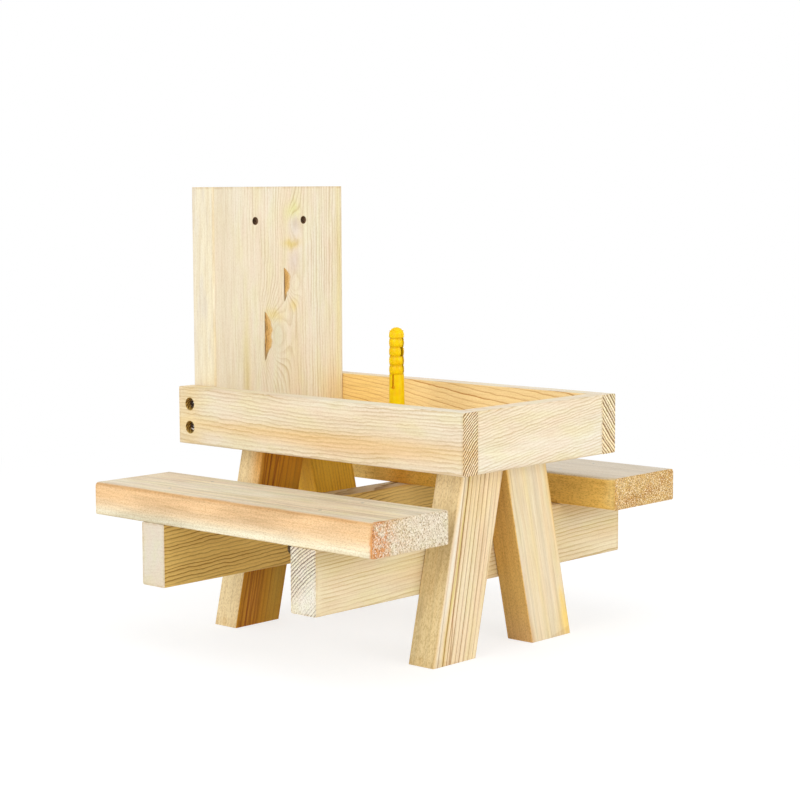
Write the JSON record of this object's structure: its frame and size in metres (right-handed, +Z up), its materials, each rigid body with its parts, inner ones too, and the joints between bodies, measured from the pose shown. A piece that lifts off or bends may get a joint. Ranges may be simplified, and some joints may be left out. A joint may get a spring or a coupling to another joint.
{
  "type": "squirrel feeder",
  "caption": "Picnic-table squirrel feeder in bare pine: open seed tray on splayed legs, benches along its sides, a mounting board, and a corn spike with a pull-off tip guard.",
  "frame": {"origin": "on the ground, under the middle of the feeder's overall box", "axes": "+X from the mounting board towards the front rail, +Y across towards the right bench, +Z up"},
  "size_m": [0.24, 0.284, 0.28],
  "materials": {
    "pine_board": "planed, bare",
    "pine_rail": "planed, bare",
    "pine_slat": "planed, bare",
    "pine_bench": "planed, bare",
    "pine_beam": "planed, bare",
    "pine_leg": "planed, bare",
    "dark_screw": "blackened",
    "zinc_steel": "zinc plated",
    "yellow_plastic": "semi-matt, moulded"
  },
  "bodies": {
    "table": {"back_board": "pine_board", "left_rail": "pine_rail", "right_rail": "pine_rail", "front_rail": "pine_rail", "left_slat": "pine_slat", "middle_slat": "pine_slat", "right_slat": "pine_slat", "left_bench": "pine_bench", "right_bench": "pine_bench", "front_beam": "pine_beam", "back_beam": "pine_beam", "front_left_leg": "pine_leg", "front_right_leg": "pine_leg", "back_left_leg": "pine_leg", "back_right_leg": "pine_leg", "rail_screws": "dark_screw", "leg_screws": "zinc_steel", "beam_screws": "zinc_steel", "bench_nails": "zinc_steel", "corn_spike": "zinc_steel"},
    "guard": {"tip_guard": "yellow_plastic"}
  },
  "joints": [
    {"name": "guard_pull", "type": "slide", "parent": "table", "child": "guard", "axis": [0, 0, 1], "range_m": [0, 0.055]}
  ]
}
